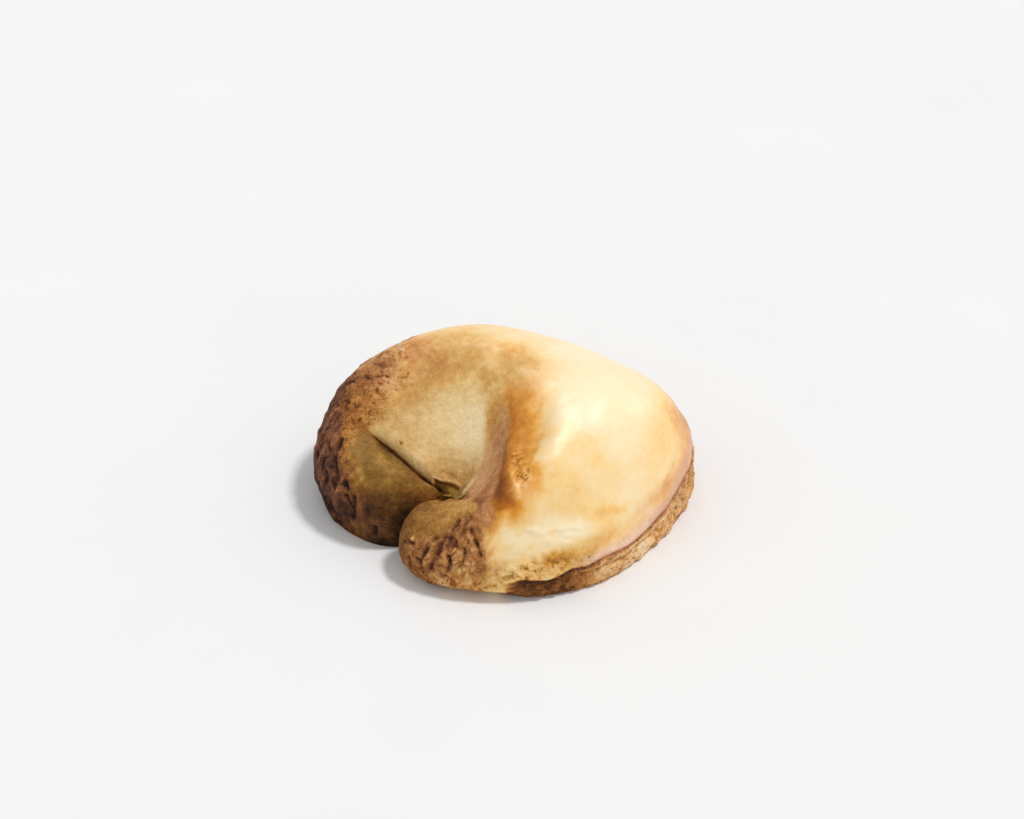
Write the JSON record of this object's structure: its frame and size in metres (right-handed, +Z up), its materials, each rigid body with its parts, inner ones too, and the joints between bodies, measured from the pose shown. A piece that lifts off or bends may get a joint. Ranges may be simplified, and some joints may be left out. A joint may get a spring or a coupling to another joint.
{
  "type": "panzerotto",
  "caption": "Baked, filled half-moon turnover of dough, bent round until its two tips meet, with a hollow in the bend and a flat base.",
  "frame": {"origin": "middle of the outline, on the plane of the flat base", "axes": "+Z up; +X from the lower lobe at the bend towards the high end of the arm; -Y is the side where the two tips meet"},
  "size_m": [0.1162, 0.1022, 0.0467],
  "materials": {
    "baked_crust": "satin, egg-washed golden crust, browner at the rim"
  },
  "bodies": {
    "root": {"panzerotto": "baked_crust"}
  },
  "joints": []
}
